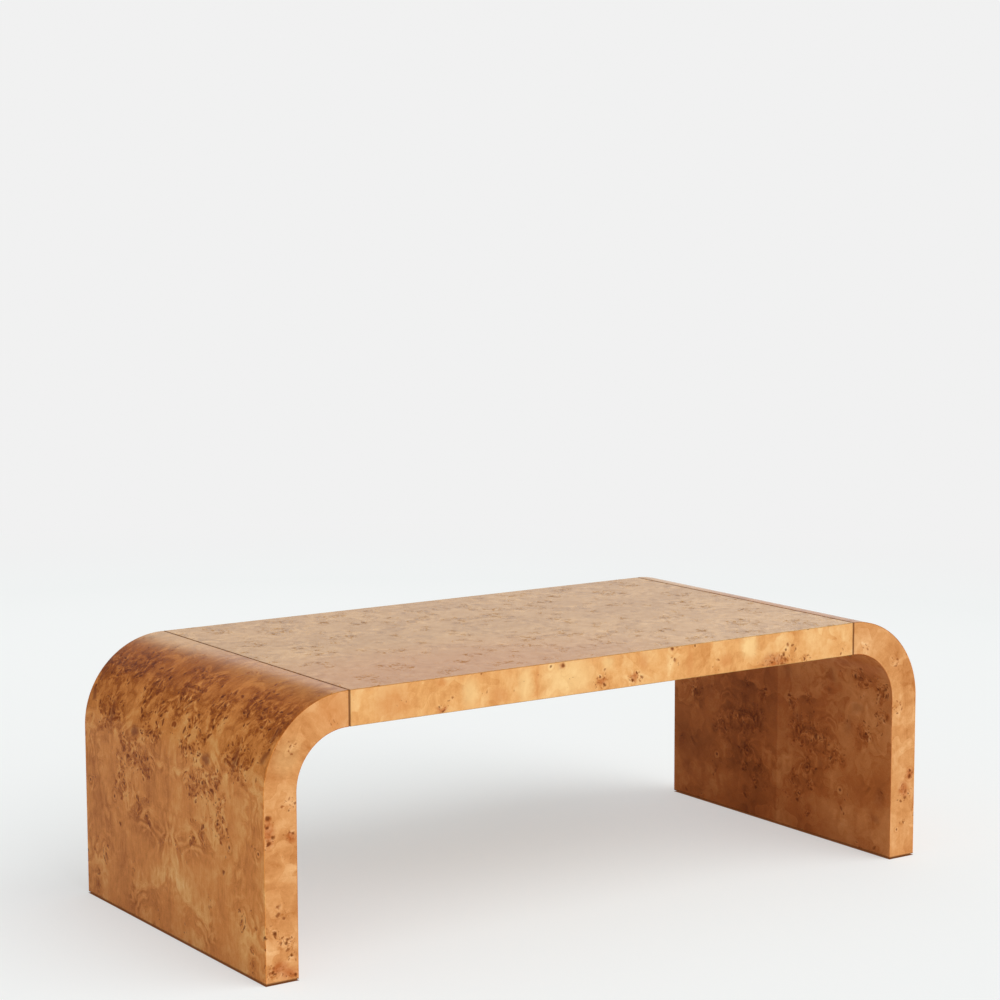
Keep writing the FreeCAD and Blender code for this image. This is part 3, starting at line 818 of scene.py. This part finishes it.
top_face = burl("burl, top", SAND, TOP_CLUSTERS, TOP_EYES, once=[(TOP_PAINTED_SHADE, SHADE_FAWN, 0.6)], **TOP)
top_under = burl("burl, underside", SAND, TOP_CLUSTERS, TOP_EYES, cut=0.31, **TOP)
end_outer = burl("burl, ends outside", DEEP, END_CLUSTERS, END_EYES,
                 washes=[(END_STAINS, RED_BROWN, 0.6)],
                 once=[(CROWN_PAINTED_SHADE, SHADE_OCHRE, 0.35), (CROWN_PAINTED_SHEEN, SHEEN_WHEAT, 0.45)],
                 matched="across", cut=1.24, stained_at=(0, OUTER_FOOT), crown=AMBER,
                 bend_shade_by=0.28, cloud_by=0.58, patch_by=0.05, wave_by=0.26, line_by=0.11,
                 front_leaf_light_by=0.045, mottle_by=0.30, ribs=(1, 0.25, 1), rib_by=0.22, fibre_by=0.22,
                 crowd_by=0.11, scatter=0.3, pip_dark=srgb(96, 36, 0),
                 pip_light=srgb(148, 70, 12), pip_share=0.9)
end_inner = burl("burl, ends inside", SHADED_RUSSET, INNER_CLUSTERS, INNER_EYES,
                 washes=[(INNER_STAINS, RED_BROWN, 0.3)],
                 matched="across", cut=1.37, stained_at=(0, INNER_FOOT),
                 front_leaf_light_by=0.065, tone_by=0.02, pip_share=0.75)
top_edges = {
    "front": burl("burl, front edge", PALE, FRONT_CLUSTERS, FRONT_EYES,
                  [(FRONT_ORANGES, TAN, 0.5), (FRONT_PALES, CREAM, 0.45),
                   (FRONT_STAINS, ORANGE, 0.6)], cut=0.62, **TOP_STRIP),
    "back": burl("burl, back edge", PALE, BACK_CLUSTERS, BACK_EYES,
                 [(BACK_STAINS, ORANGE, 0.6)], cut=0.66, **TOP_STRIP),
}
leg_edges = {
    "left": burl("burl, left leg edges", HONEY, LEFT_EDGE_CLUSTERS, LEFT_EDGE_EYES,
                 [(LEFT_EDGE_STAINS, ORANGE, 0.6), (LEFT_EDGE_TANS, TAN, 0.5),
                  (LEFT_EDGE_PALES, CREAM, 0.2)],
                 cut=0.93, tone_by=-0.02, ribs=ACROSS_STRIP, **LEG_STRIP),
    "right": burl("burl, right leg edges", HONEY, RIGHT_EDGE_CLUSTERS, RIGHT_EDGE_EYES,
                  [(RIGHT_EDGE_STAINS, ORANGE, 0.6)],
                  cut=0.97, ribs=ALONG_STRIP, **LEG_STRIP),
}


# ---------------------------------------------------------------- burl sheets
def outer_layer(way):
    """The low and high y of an edge strip on the front (-1) or the back (1) of the table."""
    return sorted((way * HALF_DEPTH, way * (HALF_DEPTH - SHEET)))


top = flat_sheet("top_face_burl", (-TOP_END_X, -HALF_DEPTH, TOP_Z - SHEET),
                 (TOP_END_X, HALF_DEPTH, TOP_Z))
finish_piece(top, "top_face_veneer", rim_of(0), on_top, top_face)
underside = flat_sheet("top_underside_burl", (-TOP_END_X, -HALF_DEPTH, TOP_Z - SLAB),
                       (TOP_END_X, HALF_DEPTH, TOP_Z - SLAB + SHEET))
finish_piece(underside, "top_underside_veneer", rim_of(SLAB), on_top, top_under)

for face, way in FACES:
    low_y, high_y = outer_layer(way)
    strip = flat_sheet(f"top_{face}_edge_burl", (-TOP_END_X, low_y, TOP_Z - SLAB + SHEET),
                       (TOP_END_X, high_y, TOP_Z - SHEET))
    finish_piece(strip, f"top_{face}_edge_veneer", ends_of_strip, on_top_edge, top_edges[face])

for end, side in SIDES:
    outer = bent_sheet(f"{end}_outer_burl", side, 0, SHEET, -HALF_DEPTH, HALF_DEPTH)
    finish_piece(outer, f"{end}_outer_veneer", rim_of(0), on_end(OUTER_RADIUS), end_outer)
    inner = bent_sheet(f"{end}_inner_burl", side, SLAB - SHEET, SLAB, -HALF_DEPTH, HALF_DEPTH)
    finish_piece(inner, f"{end}_inner_veneer", rim_of(SLAB), on_end(INNER_RADIUS), end_inner)
    for face, way in FACES:
        strip = bent_sheet(f"{end}_{face}_edge_burl", side, SHEET, SLAB - SHEET,
                           *outer_layer(way))
        finish_piece(strip, f"{end}_{face}_edge_veneer", ends_of_strip, on_leg_edge,
                     leg_edges[end])

# ---------------------------------------------------------------- floor and light
WHITE = (1.0, 1.0, 1.0, 1.0)
WHITE_LEVEL = 0.879
FLOOR_SIZE = 60.0
FLOOR_COLOUR = (0.860, 0.899, 0.892, 1.0)
# The brown of the painted shadow in the gap under the feet, in the floor's colour and in its
# glow.
FOOT_SHADOW_BROWN = srgb(140, 86, 48)
FOOT_BLUR = 0.001

# The floor glows for the camera and in the lacquer, less under the table than beside it, and
# fades into the white of the sky far off.
FLOOR_GLOW = 0.97
GLOW_CENTRE = (0.0, 0.6, 0.0)
GLOW_UNDER = 0.36
GLOW_BESIDE = 0.48
GLOW_EDGE = (0.30, 0.75)
FADE = (1.6, 4.0)

SUN_TOWARDS = Vector((0.27, -0.42, 0.42)).normalized()
SUN_LEVEL = 0.652
SUN_SPREAD = math.radians(70)
SKY_LEVEL = 0.53

# Panels behind the table, which the lacquer mirrors: name, lowest and highest z, and level.
BACK_PANELS = [("low back panel", 0.4, 1.6, 0.50), ("high back panel", 1.6, 2.3, 1.30)]
PANEL_WIDTH = 7.5
PANEL_X = 2.5
PANEL_Y = 4.3


def foot_shadow_mask(f, place):
    """1 under the two feet of the table, where the floor has a painted shadow, and 0 beside them.
    """
    x, y, _ = f.separate(place)
    x = f.math("ABSOLUTE", x)
    y = f.math("ABSOLUTE", y)
    past_inside = f.between(x, HALF_LENGTH - SLAB - FOOT_BLUR, HALF_LENGTH - SLAB)
    short_of_outside = f.between(x, HALF_LENGTH + FOOT_BLUR, HALF_LENGTH)
    short_of_face = f.between(y, HALF_DEPTH + FOOT_BLUR, HALF_DEPTH)
    return f.math("MULTIPLY", past_inside, f.math("MULTIPLY", short_of_outside, short_of_face))


def floor_finish():
    """Matt white, with its glow mixed in; under the feet both are a brown painted shadow."""
    f = Finish("studio floor")
    place = f.on_object()
    reach = f.vector("DISTANCE", place, GLOW_CENTRE, out="Value")
    ray = f.add("ShaderNodeLightPath").node.outputs
    seen = f.math("MAXIMUM", ray["Is Camera Ray"], ray["Is Glossy Ray"])
    fade = f.between(reach, *FADE)
    beside = f.between(reach, *GLOW_EDGE, GLOW_UNDER, GLOW_BESIDE)
    share = f.math("MULTIPLY", f.math("MAXIMUM", beside, fade), seen)
    strength = f.between(fade, 0.0, 1.0, FLOOR_GLOW, WHITE_LEVEL)
    feet = foot_shadow_mask(f, place)
    glow = f.add("ShaderNodeEmission",
                 {"Color": f.mix(feet, WHITE, FOOT_SHADOW_BROWN), "Strength": strength})
    f.surface(colour=f.mix(feet, FLOOR_COLOUR, FOOT_SHADOW_BROWN), roughness=1.0, specular=0.0)
    joined = f.add("ShaderNodeMixShader", {0: share, 1: f.shader.outputs[0], 2: glow})
    f.feed(f.tree.nodes["Material Output"].inputs["Surface"], joined)
    return f.material


def lay_floor():
    deselect_all()
    bpy.ops.mesh.primitive_plane_add(size=FLOOR_SIZE, location=(0, 0, 0))
    floor = bpy.context.object
    floor.name = "studio_floor"
    floor.data.materials.append(floor_finish())


def light_sky():
    """A white sky that looks brighter to the camera than it shines on the table."""
    world = bpy.data.worlds.new("studio")
    bpy.context.scene.world = world
    world.use_nodes = True
    tree = world.node_tree
    sky = tree.nodes["Background"]
    sky.inputs["Color"].default_value = WHITE
    ray = tree.nodes.new("ShaderNodeLightPath")
    level = tree.nodes.new("ShaderNodeMapRange")
    level.inputs["To Min"].default_value = SKY_LEVEL
    level.inputs["To Max"].default_value = WHITE_LEVEL
    tree.links.new(ray.outputs["Is Camera Ray"], level.inputs["Value"])
    tree.links.new(level.outputs[0], sky.inputs["Strength"])


def put_in_scene(name, data):
    thing = bpy.data.objects.new(name, data)
    bpy.context.scene.collection.objects.link(thing)
    return thing


def light_sun():
    sun = bpy.data.lights.new("key light", "SUN")
    sun.energy = SUN_LEVEL * math.pi
    sun.angle = SUN_SPREAD
    key = put_in_scene("key light", sun)
    key.rotation_euler = SUN_TOWARDS.to_track_quat("Z", "Y").to_euler()


def light_back_panel(name, low, high, level):
    light = bpy.data.lights.new(name, "AREA")
    light.shape = "RECTANGLE"
    light.size = PANEL_WIDTH
    light.size_y = high - low
    light.energy = level * math.pi * light.size * light.size_y
    panel = put_in_scene(name, light)
    panel.location = (PANEL_X, PANEL_Y, (low + high) / 2)
    panel.rotation_euler = (-math.pi / 2, 0, 0)
    panel.visible_camera = False
    panel.visible_diffuse = False


lay_floor()
light_sky()
light_sun()
for back_panel in BACK_PANELS:
    light_back_panel(*back_panel)

# ---------------------------------------------------------------- camera
EYE = Vector((-2.408386, -3.509288, 1.185903))
YAW = 0.5972357
PITCH = 0.1259376
ROLL = -0.0026016
FOCAL_LENGTH = 91.473
SENSOR_WIDTH = 36.0

lens = bpy.data.cameras.new("camera")
lens.sensor_width = SENSOR_WIDTH
lens.sensor_fit = "HORIZONTAL"
lens.lens = FOCAL_LENGTH
camera = put_in_scene("camera", lens)
camera.matrix_world = (Matrix.Translation(EYE) @ Matrix.Rotation(-YAW, 4, "Z")
                       @ Matrix.Rotation(math.pi / 2 - PITCH, 4, "X")
                       @ Matrix.Rotation(ROLL, 4, "Z"))
bpy.context.scene.camera = camera
bpy.context.scene.view_settings.view_transform = "Standard"
